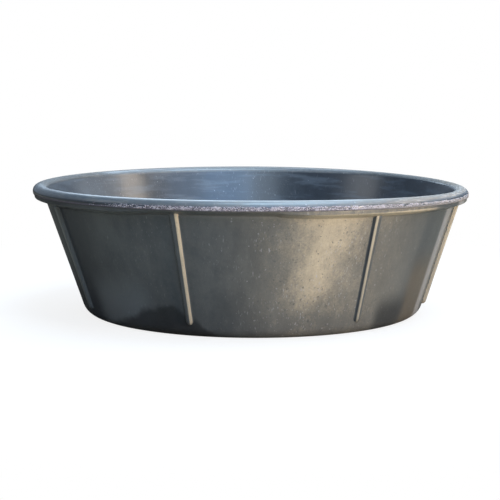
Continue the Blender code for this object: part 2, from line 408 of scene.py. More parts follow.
class Section:
    """The pan's section, worked out from its sizes."""

    def __init__(self, sizes):
        self.sizes = sizes
        run = sizes.rim_radius - sizes.rim_overhang - sizes.base_radius
        self.rise = Vector((run, sizes.under_rim_level)).normalized()
        self.out = Vector((self.rise.y, -self.rise.x))
        self.dome_level = sizes.height - sizes.dome_height

    def wall_radius(self, depth, level):
        """Radius, at a level, of the face that lies this deep inside the wall."""
        return self.sizes.base_radius + (level * self.rise.x - depth) / self.rise.y

    def wall_line(self, depth, top_level):
        """Points down a face of the wall, round its corner and in along the floor."""
        corners = [
            Corner(self.wall_radius(depth, top_level), top_level),
            Corner(self.wall_radius(depth, depth), depth, self.sizes.corner_radius - depth),
            Corner(0, depth),
        ]
        return divided(rounded(corners))

    def outer_line(self):
        """Points down the outer face from the lower lip to the middle of the base."""
        sizes = self.sizes
        under_rim = sizes.under_rim_level
        corners = [
            Corner(LIP_RADIUS - LIP_FACE, LIP_TOP),
            Corner(LIP_RADIUS, LIP_TOP, LIP_EDGE_ROUND),
            Corner(LIP_RADIUS - LIP_DRAFT, sizes.lip_level, LIP_CORNER_ROUND),
            Corner(self.wall_radius(0, under_rim), under_rim, UNDER_RIM_ROUND),
            Corner(sizes.base_radius, 0, sizes.corner_radius),
            Corner(0, 0),
        ]
        return divided(rounded(corners))

    def dome(self, depth):
        """Points over the rim this deep inside its skin, from the bore side outwards."""
        inner = self.wall_radius(LINER_DEPTHS[1] - depth, self.dome_level)
        outer = self.sizes.rim_radius - TEAR_DEPTH - depth
        middle, half = (inner + outer) / 2, (outer - inner) / 2
        points = []
        for step in range(DOME_STEPS + 1):
            turn = math.pi * (1 - step / DOME_STEPS)
            rise = (self.sizes.dome_height - depth) * math.sin(turn)
            points.append(Vector((middle + half * math.cos(turn), self.dome_level + rise)))
        return points

    def dome_fall(self, level, width_level):
        """How far the dome has turned in at a level, if it is as wide as the rim at width_level."""
        half = (self.sizes.rim_radius - self.wall_radius(LINER_DEPTHS[1], width_level)) / 2
        rise = max(0, level - self.dome_level) / self.sizes.dome_height
        return half * (1 - math.sqrt(1 - rise**2))


def lip_rise(angle, sizes):
    """How much higher the lower lip ends at this angle round the pan."""
    off = abs(angle - TRIM_DIRECTION)
    off = min(off, 2 * math.pi - off)
    share = min(1, max(0, (TRIM_REACH[1] - off) / (TRIM_REACH[1] - TRIM_REACH[0])))
    return sizes.lip_trim * share * share * (3 - 2 * share)


def tidiness(angle, power):
    """1 where the trimmed edge is smoothest, and 0 from a quarter of the way round on either side."""
    return max(0, math.cos(angle - math.radians(TIDY_EDGE.direction))) ** power


def softened(line, index, reach):
    """The line with its corner at this index eased into a curve that starts and ends this far off."""
    corner = line[index]
    before = next(i for i in range(index, -1, -1) if (line[i] - corner).length >= reach)
    after = next(i for i in range(index, len(line)) if (line[i] - corner).length >= reach)
    start, end = line[before], line[after]
    curve = []
    for step in range(1, ARC_STEPS):
        share = step / ARC_STEPS
        left = 1 - share
        curve.append(start * left**2 + corner * 2 * share * left + end * share**2)
    return line[: before + 1] + curve + line[after:]


def settled(place, sizes):
    """Where a point of the true moulding lies once the soft rubber has sunk and drawn in."""
    angle = math.atan2(place.x, -place.y)
    lift = max(0, place.z / sizes.height)
    sideways = math.sin(angle - SAG_DIRECTION)
    sag = sizes.sag_right if sideways > 0 else sizes.sag_left
    side_draw = sizes.side_draw_right if sideways > 0 else sizes.side_draw_left
    wavy = EVEN_FLEX
    for around, up, start, share in WAVES:
        level = place.z * up + start
        wavy += share * noise.noise(Vector((math.sin(angle) * around, math.cos(angle) * around, level)))
    draw = sizes.flex * lift * wavy + sizes.foot_draw * (1 - lift) + sizes.rim_draw * lift
    draw += side_draw * sideways**2
    radius = math.hypot(place.x, place.y)
    share = (radius - draw) / radius if radius > ON_AXIS else 1
    lean = sizes.foot_lean * (1 - lift)
    return Vector((place.x * share + lean, place.y * share, place.z - sag * sideways**2 * lift**2))


def round_the_axis(radius, angle, level):
    return Vector((radius * math.sin(angle), -radius * math.cos(angle), level))


def new_piece(name, points, faces, sizes):
    """An object of these points, settled as the soft rubber is, and smooth all over."""
    mesh = bpy.data.meshes.new(name)
    mesh.from_pydata([settled(point, sizes) for point in points], [], faces)
    mesh.validate()
    mesh.shade_smooth()
    piece = bpy.data.objects.new(name, mesh)
    bpy.context.scene.collection.objects.link(piece)
    return piece


def joined(rings):
    """Faces that join each ring of point numbers to the next, as triangles where a ring is one point."""
    faces = []
    for first, second in zip(rings, rings[1:]):
        for index in range(len(first)):
            after = (index + 1) % len(first)
            corners = dict.fromkeys((first[index], second[index], second[after], first[after]))
            if len(corners) > 2:
                faces.append(tuple(corners))
    return faces


def turned(name, profile, sizes, steps=TURN_STEPS, shape=None):
    """A closed profile turned round the Z axis. shape(radius, angle, level) moves a point out and up."""
    points, rows = [], []
    for radius, level in profile:
        if radius < ON_AXIS:
            rows.append([len(points)] * steps)
            points.append(Vector((0, 0, level)))
            continue
        rows.append(range(len(points), len(points) + steps))
        for step in range(steps):
            angle = 2 * math.pi * step / steps
            out, up = shape(radius, angle, level) if shape else (0, 0)
            points.append(round_the_axis(radius + out, angle, level + up))
    return new_piece(name, points, joined(rows + rows[:1]), sizes)


def keep(piece, finish, nodes=()):
    """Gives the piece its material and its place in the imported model."""
    piece.data.materials.append(finish)
    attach(piece, "root")
    if nodes:
        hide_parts(*nodes)


class Wiring:
    """Puts nodes into one node tree and joins them up. The finishes call theirs w."""

    def __init__(self, tree):
        self.tree = tree

    def feed(self, socket, value):
        """Joins an input to another node's output, or sets it to a number or colour."""
        if isinstance(value, bpy.types.NodeSocket):
            self.tree.links.new(value, socket)
        elif socket.type == "RGBA" and len(value) == 3:
            socket.default_value = (*value, 1)
        else:
            socket.default_value = value

    def add(self, kind, inputs=None, **settings):
        node = self.tree.nodes.new(kind)
        for name, value in settings.items():
            setattr(node, name, value)
        for name, value in (inputs or {}).items():
            self.feed(node.inputs[name], value)
        return node

    def calc(self, operation, *values):
        return self.add("ShaderNodeMath", dict(enumerate(values)), operation=operation).outputs[0]

    def times(self, first, *others):
        for other in others:
            first = self.calc("MULTIPLY", first, other)
        return first

    def scaled(self, value, scale, offset):
        return self.calc("MULTIPLY_ADD", value, scale, offset)

    def weighed(self, start, *parts):
        """The start value plus each (value, weight) multiplied out."""
        for value, weight in parts:
            start = self.scaled(value, weight, start)
        return start

    def larger(self, first, second):
        return self.calc("MAXIMUM", first, second)

    def smooth(self, value, low, high, start=0.0, end=1.0):
        """Turns a value between low and high into a smooth step from start to end."""
        inputs = {"Value": value, "From Min": low, "From Max": high, "To Min": start, "To Max": end}
        return self.add("ShaderNodeMapRange", inputs, interpolation_type="SMOOTHSTEP").outputs[0]

    def noise(self, vector, scale, detail, roughness, distortion=0.0):
        inputs = {
            "Vector": vector, "Scale": scale, "Detail": detail,
            "Roughness": roughness, "Distortion": distortion,
        }
        return self.add("ShaderNodeTexNoise", inputs).outputs["Fac"]

    def stretched(self, vector, scale, turn=(0, 0, 0)):
        inputs = {"Vector": vector, "Scale": scale, "Rotation": turn}
        return self.add("ShaderNodeMapping", inputs).outputs[0]

    def mix(self, factor, first, second):
        node = self.add("ShaderNodeMix", data_type="RGBA")
        for index, value in ((0, factor), (6, first), (7, second)):
            self.feed(node.inputs[index], value)
        return node.outputs[2]

    def painted(self, colour, *layers):
        """The colour under layers of (mask, strength, colour), each laid over the ones before it."""
        for mask, strength, paint in layers:
            colour = self.mix(self.times(mask, strength), colour, paint)
        return colour

    def vector(self, operation, *values):
        return self.add("ShaderNodeVectorMath", dict(enumerate(values)), operation=operation).outputs

    def surface(self):
        """The surface point in the pan's own metres."""
        return self.add("ShaderNodeTexCoord").outputs["Object"]

    def height(self, place):
        return self.add("ShaderNodeSeparateXYZ", {0: place}).outputs["Z"]

    def spoke(self, place):
        """The level direction from the pan's axis to the surface point."""
        flat = self.vector("MULTIPLY", place, (1, 1, 0))[0]
        return self.vector("NORMALIZE", flat)[0]

    def facing(self, place, degrees):
        """Cosine of the angle round the pan between the surface point and a direction."""
        direction = math.radians(degrees)
        aim = (math.sin(direction), -math.cos(direction), 0)
        return self.vector("DOT_PRODUCT", self.spoke(place), aim)["Value"]

    def outward(self, place):
        """How far the surface faces away from the pan's axis, from -1 to 1."""
        normal = self.add("ShaderNodeNewGeometry").outputs["Normal"]
        return self.vector("DOT_PRODUCT", self.spoke(place), normal)["Value"]

    def round_rim(self, place):
        """Radius, height and a shortened angle, so that a texture on them is drawn out round the pan."""
        metres_per_radian = 0.03
        parts = self.add("ShaderNodeSeparateXYZ", {0: place}).outputs
        flat = self.add("ShaderNodeCombineXYZ", {0: parts["X"], 1: parts["Y"]}).outputs[0]
        radius = self.vector("LENGTH", flat)["Value"]
        angle = self.times(self.calc("ARCTAN2", parts["Y"], parts["X"]), metres_per_radian)
        return self.add("ShaderNodeCombineXYZ", {0: radius, 1: parts["Z"], 2: angle}).outputs[0]

    def towards(self, place, side):
        """1 where a side of the pan is whole, fading to 0 at its ends."""
        whole, end = math.cos(math.radians(side.whole)), math.cos(math.radians(side.end))
        return self.smooth(self.facing(place, side.direction), end, whole)

    def marked(self, place, mark):
        """How strong a mark is at the surface point."""
        strength = self.smooth(self.height(place), mark.low, mark.high, mark.at_low, mark.at_high)
        return self.times(self.towards(place, mark.side), strength)

    def effect(self, kind, values):
        """The outputs of a shared effect, placed here with its own values."""
        return self.add("ShaderNodeGroup", values, node_tree=kind.tree()).outputs


class Effect(NamedTuple):
    """An effect that several finishes share: a shader node group, built the first time it is placed."""

    name: str
    inputs: dict
    outputs: dict
    fill: object

    def tree(self):
        if self.name in bpy.data.node_groups:
            return bpy.data.node_groups[self.name]
        tree = bpy.data.node_groups.new(self.name, "ShaderNodeTree")
        for label, default in self.inputs.items():
            is_number = isinstance(default, float)
            kind = "NodeSocketFloat" if is_number else "NodeSocketColor"
            socket = tree.interface.new_socket(name=label, in_out="INPUT", socket_type=kind)
            socket.default_value = default if is_number else (*default, 1)
        for label, kind in self.outputs.items():
            tree.interface.new_socket(name=label, in_out="OUTPUT", socket_type=kind)
        wiring = Wiring(tree)
        results = self.fill(wiring, tree.nodes.new("NodeGroupInput").outputs)
        end = tree.nodes.new("NodeGroupOutput")
        for label, value in results.items():
            wiring.feed(end.inputs[label], value)
        return tree


def fill_aged_rubber(w, given):
    """Rubber with a cloudy grey bloom, faint runs down the wall and a fine moulded grain."""
    place = w.surface()
    clouds = w.noise(place, 11.0, 6.0, 0.62, 0.4)
    runs = w.noise(w.stretched(place, (1, 1, 0.10)), 70.0, 3.0, 0.55)
    mottle = w.noise(place, 240.0, 4.0, 0.6)
    cloudy = w.weighed(0.0, (mottle, 0.15), (runs, 0.3), (clouds, 0.55))
    film = w.times(w.smooth(cloudy, 0.28, 0.74), given["Bloom amount"])
    grain = w.noise(place, 1500.0, 2.0, 0.5)
    dents = w.noise(place, 55.0, 2.0, 0.5)
    pits = w.smooth(w.noise(place, 620.0, 1.0, 0.4), 0.26, 0.36)
    return {
        "Color": w.mix(film, given["Rubber"], given["Bloom"]),
        "Film": film,
        "Height": w.weighed(0.0, (pits, 0.9), (dents, 1.3), (grain, 0.25)),
    }


def fill_scuffs(w, given):
    """Short fine scratches that run two ways, in patches."""
    place = w.surface()
    lines = []
    for turn, scale in (((0.5, 1.1, 0.3), 620.0), ((-0.8, 0.3, 1.4), 520.0)):
        dashes = w.noise(w.stretched(place, (1, 1, 0.05), turn), scale, 1.0, 0.4)
        lines.append(w.smooth(dashes, 0.68, 0.76))
    patches = w.smooth(w.noise(place, 17.0, 3.0, 0.6), 0.42, 0.62)
    return {"Mask": w.times(w.larger(*lines), patches, given["Amount"])}


def fill_dry_dust(w, given):
    """Dry earth that clings in a mottled film, thin where it was rubbed off."""
    place = w.surface()
    broad = w.noise(place, 34.0, 5.0, 0.6, 0.3)
    fine = w.noise(place, 430.0, 5.0, 0.75)
    rubbed = w.noise(w.stretched(place, (1, 1, 0.22), (0.3, 0.5, 0)), 150.0, 4.0, 0.6)
    cling = w.weighed(0.0, (fine, 0.42), (rubbed, 0.26), (broad, 0.32))
    bare_below = w.calc("SUBTRACT", 0.78, w.times(given["Amount"], 0.52))
    mask = w.smooth(w.calc("SUBTRACT", cling, bare_below), -0.24, 0.34)
    return {"Mask": w.times(mask, w.smooth(given["Amount"], 0.0, 0.25))}


def fill_specks(w, given):
    """Small round specks of dry splash, scattered at random."""
    cells = w.add("ShaderNodeTexVoronoi", {"Vector": w.surface(), "Scale": 300.0}).outputs
    chance = w.add("ShaderNodeSeparateColor", {0: cells["Color"]}).outputs
    chosen = w.calc("LESS_THAN", chance[0], given["Share"])
    size = w.scaled(chance[1], 0.26, 0.06)
    return {"Mask": w.times(chosen, w.calc("LESS_THAN", cells["Distance"], size))}


MASK_ONLY = {"Mask": "NodeSocketFloat"}
AGED_RUBBER = Effect(
    "Aged rubber",
    {"Rubber": (0.05, 0.05, 0.05), "Bloom": (0.14, 0.14, 0.13), "Bloom amount": 0.6},
    {"Color": "NodeSocketColor", "Film": "NodeSocketFloat", "Height": "NodeSocketFloat"},
    fill_aged_rubber,
)
SCUFFS = Effect("Scuffs", {"Amount": 0.5}, MASK_ONLY, fill_scuffs)
DRY_DUST = Effect("Dry dust", {"Amount": 0.5}, MASK_ONLY, fill_dry_dust)
SPECKS = Effect("Specks", {"Share": 0.1}, MASK_ONLY, fill_specks)


class Finish(Wiring):
    """Wiring of a new material with one Principled shader. settings are constant numbers on its sockets."""

    def __init__(self, name, settings):
        self.material = bpy.data.materials.new(name)
        self.material.use_nodes = True
        super().__init__(self.material.node_tree)
        self.shader = self.tree.nodes["Principled BSDF"]
        for label, value in settings.items():
            self.shader.inputs[label].default_value = value

    def aged(self, rubber, bloom, amount):
        return self.effect(AGED_RUBBER, {"Rubber": rubber, "Bloom": bloom, "Bloom amount": amount})

    def made(self, colour, rough, height, strength, depth):
        """The material, with its colour, roughness and relief wired to the shader."""
        bump = self.add("ShaderNodeBump", {"Height": height, "Strength": strength, "Distance": depth})
        values = {"Base Color": colour, "Roughness": rough, "Normal": bump.outputs[0]}
        for label, value in values.items():
            self.feed(self.shader.inputs[label], value)
        return self.material


def dust_and_reflection_patch(w, place, level, in_front):
    """The broad patch right of the front: dust, and a painted warm reflection of sunlit ground. Its right
    border leans with the level.
    """
    lean = -1.6
    across = w.facing(place, 82)
    left = w.smooth(across, 0.10, 0.36)
    right = w.smooth(w.scaled(level, lean, across), 0.15, 0.42, 1.0, 0.0)
    return w.times(left, right, in_front, w.smooth(level, *PATCH_BAND))


def painted_shadow_reflection(w, place, level, in_front):
    """Painted reflection of the pan's shadow on the ground: dark under a ragged line, highest 31 degrees
    left of the front and lower on both sides.
    """
    left_slope, right_slope, raggedness, crest = 0.068, -0.137, 0.030, 0.025
    beside = w.facing(place, 59)
    fall = w.calc("MINIMUM", w.times(beside, left_slope), w.times(beside, right_slope))
    ragged = w.scaled(w.noise(place, 26.0, 3.0, 0.6), raggedness, crest)
    over_line = w.calc("SUBTRACT", level, w.calc("ADD", fall, ragged))
    return w.times(w.smooth(over_line, -0.006, 0.004, 1.0, 0.0), in_front, 0.74)


def cover_finish(colours):
    """Outer rubber: grey bloom, scuffs, dust with a painted reflection right of the front and dust with
    painted bounce light under the rim. It also has painted fill light under the rim, painted shade at the
    left, a painted highlight strip and painted reflections.
    """
    settings = {"Specular IOR Level": 0.5, "Coat Weight": 0.15, "Coat Roughness": 0.2}
    w = Finish("outer_rubber", settings)
    place = w.surface()
    level = w.height(place)
    rubber = w.aged(colours.cover, colours.bloom, 0.75)
    in_front = w.smooth(w.facing(place, 0), 0.0, 0.2)
    yard = w.times(w.towards(place, YARD_SIDE), w.towards(place, FRONT_SIDE))
    lip = w.smooth(level, *LIP_BAND)
    # Painted fill light: the recess under the rim is painted a lighter grey to lift the shade there, less on
    # the lip
    under_rim_fill_light = w.times(w.smooth(level, *UNDER_RIM_FILL_BAND), w.scaled(lip, -0.3, 0.3))
    # Painted shade: the left side of the wall is painted darker, and made rougher as well
    shade = w.times(w.towards(place, PAINTED_SHADE_SIDE), 0.84)
    # Painted shade: a narrow strip of clean dark rubber with no dust
    painted_shade_strip = w.marked(place, PAINTED_SHADE_STRIP)

    amount = w.times(yard, w.smooth(level, *DUST_BAND, 0.19, 0.24))
    # The patch is dust and a painted reflection
    amount = w.scaled(dust_and_reflection_patch(w, place, level, in_front), 0.59, amount)
    amount = w.times(w.larger(amount, w.marked(place, UNDER_RIM_DUST_AND_BOUNCE)), w.scaled(lip, -0.6, 1.0))
    # This dust mask also carries the painted reflection of the patch and the painted bounce light under the
    # rim
    dust = w.times(w.effect(DRY_DUST, {"Amount": amount})["Mask"], w.calc("SUBTRACT", 1.0, painted_shade_strip))
    film = w.times(yard, w.smooth(level, *FILM_BAND, 0.055, 0.11))
    worn = w.effect(SCUFFS, {"Amount": w.scaled(yard, 0.45, 0.2)})["Mask"]
    splash = w.effect(SPECKS, {"Share": w.times(yard, 0.13)})["Mask"]
    chips = w.smooth(w.noise(w.stretched(place, (1, 1, 0.7)), 310.0, 3.0, 0.6), 0.62, 0.68)
    # The painted reflection of the pan's shadow at the foot, and the dark patch right of the front
    shadow_reflection_and_patch = w.larger(painted_shadow_reflection(w, place, level, in_front), w.marked(place, DARK_FOOT_PATCH))

    colour = w.painted(
        rubber["Color"],
        (under_rim_fill_light, 1.0, UNDER_RIM_FILL_GREY),
        (shade, 1.0, PAINTED_SHADE_BLACK),
        # painted reflection, low on the left
        (w.marked(place, PAINTED_REFLECTION_STREAK), 1.0, PAINTED_REFLECTION_GREY),
        (film, 1.0, colours.dust),
        (painted_shade_strip, 1.0, colours.cover),
        (w.marked(place, SMEAR), 1.0, SMEAR_BROWN),
        # painted highlight
        (w.towards(place, PAINTED_HIGHLIGHT_STRIP), 0.55, colours.chalk),
        (dust, 0.78, colours.dust),
        (w.times(chips, yard), 0.6, colours.cover),
        (w.scaled(splash, 0.36, worn), 1.0, colours.chalk),
        (shadow_reflection_and_patch, 1.0, SHADOW_REFLECTION_AND_PATCH_BLACK),
    )
    rough = w.weighed(0.30, (rubber["Film"], 0.16), (shade, 0.28), (dust, 0.26))
    return w.made(colour, rough, rubber["Height"], 0.35, GRAIN_DEPTH)


def liner_finish(colours):
    """Inner rubber and rim: smoother and wetter, wiped in the bore, scuffed at the rim's right side and
    painted in shade on its far side.
    """
    settings = {"Specular IOR Level": 0.8, "Coat Roughness": 0.16}
    w = Finish("inner_rubber", settings)
    place = w.surface()
    level = w.height(place)
    rubber = w.aged(colours.liner, colours.liner_bloom, 0.55)
    on_rim = w.smooth(level, *RIM_BAND)
    right = w.towards(place, SCUFFED_RIM)
    chalk_amount = w.times(on_rim, w.scaled(right, 0.62, 0.34))
    chalk = w.effect(DRY_DUST, {"Amount": chalk_amount})["Mask"]
    splash = w.effect(SPECKS, {"Share": 0.035})["Mask"]
    worn = w.effect(SCUFFS, {"Amount": 0.35})["Mask"]

    # Painted shade: the far side of the rim is painted darker, and made rougher with less coat
    at_back = w.smooth(w.facing(place, 0), -0.1, 0.2, 1.0, 0.0)
    dull_and_shaded = w.larger(w.towards(place, DULL_SHADED_LEFT), w.towards(place, DULL_SHADED_RIGHT))
    dull_and_shaded = w.larger(dull_and_shaded, w.smooth(w.outward(place), -0.5, -0.2))
    far = w.times(on_rim, at_back, dull_and_shaded)

    lines = w.noise(w.round_rim(place), 550.0, 3.0, 0.65)
    streaky = w.times(on_rim, w.scaled(right, 0.75, 0.2))
    pale_lines = w.times(w.smooth(lines, 0.53, 0.66), streaky)
    dark_lines = w.times(w.smooth(lines, 0.34, 0.47, 1.0, 0.0), streaky)
    wipes = w.smooth(w.noise(w.stretched(place, (0.16, 0.16, 1.0)), 120.0, 4.0, 0.65), 0.48, 0.68)
    off_floor = w.smooth(level, *BORE_BAND, 0.3, 1.0)
    wiped = w.times(wipes, w.calc("SUBTRACT", 1.0, on_rim), off_floor)

    colour = w.painted(
        rubber["Color"],
        (wiped, 0.40, WIPED_GREY),
        (on_rim, 0.45, RIM_GREY),
        (far, 0.8, FAR_RIM_SHADE_BLACK),
        (chalk, 0.8, RIM_DUST),
        (dark_lines, 0.55, DARK_LINE),
        (pale_lines, 0.5, PALE_LINE),
        (splash, 0.35, colours.chalk),
        (worn, 0.5, colours.chalk),
    )
    rough = w.weighed(0.27, (on_rim, 0.07), (rubber["Film"], 0.12), (wiped, 0.08))
    rough = w.weighed(rough, (streaky, 0.12), (far, 0.3), (chalk, 0.35))
    coat = w.weighed(0.49, (on_rim, -0.03), (streaky, -0.3), (far, -0.5))
    coat = w.scaled(chalk, -0.5, w.larger(coat, 0.0))
    w.feed(w.shader.inputs["Coat Weight"], w.larger(coat, 0.0))
    return w.made(colour, rough, rubber["Height"], 0.30, GRAIN_DEPTH)


def rib_finish(colours):
    """Rib rubber with bloom and dust on its lit flank, which is partly painted light."""
    settings = {"Specular IOR Level": 0.5, "Coat Weight": 0.12, "Coat Roughness": 0.25}
    w = Finish("rib_rubber_worn", settings)
    rubber = w.aged(colours.cover, colours.bloom, 0.6)
    place = w.surface()
    dusty = w.add("ShaderNodeAttribute", attribute_name="dusty_lit_flank").outputs["Fac"]
    # The lit flank is painted pale with bloom and dust, partly painted light
    flank = w.smooth(dusty, 0.3, 0.7)
    dust = w.effect(DRY_DUST, {"Amount": w.times(flank, w.towards(place, DUSTY_LIT_RIBS))})["Mask"]
    strength = w.smooth(w.height(place), *RIB_BAND, 0.42, 0.66)
    colour = w.painted(rubber["Color"], (flank, 0.8, colours.bloom), (dust, strength, colours.dust))
    return w.made(colour, w.scaled(dust, 0.25, 0.34), rubber["Height"], 0.35, GRAIN_DEPTH)


def cut_edge_finish(colours):
    """The trimmed edge: torn dark rubber with pale cut fibres in it, fewest where it is tidy."""
    w = Finish("trimmed_rubber", {"Specular IOR Level": 0.4})
    place = w.surface()
    fibre = w.noise(w.stretched(place, (1, 1, 1.6)), 520.0, 4.0, 0.7, 0.6)
    clumps = w.noise(place, 90.0, 3.0, 0.6)
    tidy = w.times(w.towards(place, TIDY_EDGE), 0.22)
    shown = w.calc("SUBTRACT", w.scaled(clumps, 0.45, fibre), tidy)
    fibres = w.times(w.smooth(shown, 0.68, 0.80), w.smooth(w.height(place), *FIBRE_BAND))
    colour = w.painted(
        w.mix(w.noise(place, 900.0, 3.0, 0.7), TORN_DARK, TORN_PALE),
        (w.towards(place, DUSTY_EDGE), 0.75, EDGE_DUST),
        (fibres, 0.85, colours.cord),
    )
    return w.made(colour, w.smooth(fibre, 0.3, 0.7, 0.55, 0.95), fibre, 0.8, TORN_DEPTH)


def cord_finish(colours):
    """Cut cord: frayed, dirty off-white with a touch of pink."""
    w = Finish("cut_cord", {"Specular IOR Level": 0.3, "Sheen Weight": 0.25})
    place = w.surface()
    dirt = w.smooth(w.noise(place, 380.0, 3.0, 0.7), 0.42, 0.70)
    fray = w.noise(w.stretched(place, (1, 1, 3)), 2400.0, 2.0, 0.6)
    dusty = w.towards(place, DUSTY_EDGE)
    dirt_strength = w.scaled(dusty, -0.4, 0.7)
    colour = w.painted(colours.cord, (dusty, 0.6, CORD_DUST), (dirt, dirt_strength, CORD_DIRT))
    return w.made(colour, w.smooth(fray, 0.3, 0.7, 0.75, 1.0), fray, 0.6, FRAY_DEPTH)


def filler_finish():
    """Plain matt rubber of the strip inside the rim."""
    w = Finish("filler_rubber_plain", {"Specular IOR Level": 0.3})
    rubber = w.aged(FILLER_BLACK, FILLER_BLOOM, 0.6)
    return w.made(rubber["Color"], w.scaled(rubber["Film"], 0.2, 0.6), rubber["Height"], 0.2, GRAIN_DEPTH)


class FEEDPAN_OT_cover(bpy.types.Operator):
    """Outer rubber of the wall and base, with the lower lip of the rim"""

    bl_idname = "feedpan.cover"
    bl_label = "Outer rubber"

    def execute(self, context):
        sizes = context.scene.feed_pan_sizes
        section = Section(sizes)
        back = section.wall_line(COVER_DEPTH, LIP_TOP)[::-1]
        wall_edge = section.wall_radius(0, sizes.under_rim_level)
        trim_start = sizes.under_rim_level - TRIM_DROP

        def trimmed_lip(radius, angle, level):
            if level < trim_start or radius < section.wall_radius(COVER_DEPTH / 2, level):
                return 0, 0
            share = min(1, (level - trim_start) / TRIM_RUN_IN, (LIP_TOP - level) / TRIM_RUN_OUT)
            up = lip_rise(angle, sizes) * max(0, share)
            over_wall = 1 - min(1, max(0, (radius - wall_edge) / (LIP_RADIUS - wall_edge)))
            return up * over_wall * section.rise.x / section.rise.y, up

        cover = turned("outer_rubber", section.outer_line() + back, sizes, shape=trimmed_lip)
        finish = cover_finish(context.scene.feed_pan_colours)
        keep(cover, finish, ("wall_cover", "base_cover"))
        return {"FINISHED"}


class FEEDPAN_OT_liner(bpy.types.Operator):
    """Inner rubber of the bowl, rolled over the rim"""

    bl_idname = "feedpan.liner"
    bl_label = "Inner rubber"

    def execute(self, context):
        sizes = context.scene.feed_pan_sizes
        section = Section(sizes)
        skin = LINER_DEPTHS[1] - LINER_DEPTHS[0]
        outer = sizes.rim_radius - TEAR_DEPTH
        edge_level = section.dome_level - LINER_EDGE_DROP
        edge = [Vector((outer, edge_level)), Vector((outer - skin, edge_level))]
        bore = section.wall_line(LINER_DEPTHS[1], section.dome_level)[::-1][:-1]
        shown = softened(bore + section.dome(0) + edge, len(bore), BORE_CORNER_REACH)
        under = section.dome(skin)[::-1]
        back = section.wall_line(LINER_DEPTHS[0], section.dome_level)[1:]
        liner = turned("inner_rubber", shown + under + back, sizes)
        finish = liner_finish(context.scene.feed_pan_colours)
        keep(liner, finish, ("wall_liner", "floor_liner"))
        return {"FINISHED"}


class FEEDPAN_OT_inner_layers(bpy.types.Operator):
    """Cord fabric inside the wall and floor, and the strip that fills the rim"""

    bl_idname = "feedpan.inner_layers"
    bl_label = "Inner layers"

    def execute(self, context):
        sizes = context.scene.feed_pan_sizes
        section = Section(sizes)
        flange = Vector((sizes.rim_radius - CORD_INSET, CORD_TOP))
        ply = CORD_DEPTHS[1] - CORD_DEPTHS[0]
        outer = section.wall_line(CORD_DEPTHS[0], CORD_TOP - ply)
        inner = section.wall_line(CORD_DEPTHS[1], CORD_TOP)[::-1]
        line = [flange, flange - Vector((0, ply))] + outer + inner
        fabric = turned("cord_fabric", line, sizes, HIDDEN_TURN_STEPS)
        finish = cord_finish(context.scene.feed_pan_colours)
        keep(fabric, finish, ("wall_cord_ply", "floor_cord_ply"))
        bottom, top = FILLER_LEVELS
        clearance = HEIGHT - top
        foot = [
            Vector((sizes.rim_radius - TEAR_DEPTH - clearance, bottom)),
            Vector((section.wall_radius(CORD_DEPTHS[1], bottom), bottom)),
        ]
        strip = turned("rim_strip", section.dome(clearance) + foot, sizes, HIDDEN_TURN_STEPS)
        keep(strip, filler_finish(), ("rim_filler",))
        return {"FINISHED"}


class FEEDPAN_OT_trimmed_edge(bpy.types.Operator):
    """Rough edge of the rim, where the moulding was cut from its waste"""

    bl_idname = "feedpan.trimmed_edge"
    bl_label = "Trimmed edge"

    def execute(self, context):
        sizes = context.scene.feed_pan_sizes
        section = Section(sizes)
        over_dome_edge, depth = 0.0022, 0.004
        furthest_out, set_in = 0.00045, 0.0003
        top = section.dome_level + over_dome_edge
        bottom = LIP_TOP - LAP
        outer = sizes.rim_radius - TEAR_DEPTH + LAP
        inner = outer - depth

        def torn(radius, angle, level):
            if radius < outer:
                return 0, 0
            on_rim = Vector((math.sin(angle), math.cos(angle), level)) * sizes.rim_radius
            tidy = tidiness(angle, 4)
            rough = 0
            for along, up, tear in TEARS:
                rough += tear * noise.noise(on_rim * along + Vector((0, 0, level * up)))
            border = min(1, (top - level) / TEAR_FADE, (level - bottom) / TEAR_FADE)
            out = min(furthest_out, rough * (1 - 0.7 * tidy))
            out = out - set_in * tidy - set_in * (1 - max(0, border))
            return out - section.dome_fall(level, top), 0

        rows = CUT_EDGE_ROWS
        face = [Vector((outer, top + (bottom - top) * row / (rows - 1))) for row in range(rows)]
        profile = [Vector((inner, top))] + face + [Vector((inner, bottom))]
        edge = turned("trimmed_edge", profile, sizes, CUT_EDGE_STEPS, torn)
        keep(edge, cut_edge_finish(context.scene.feed_pan_colours))
        return {"FINISHED"}


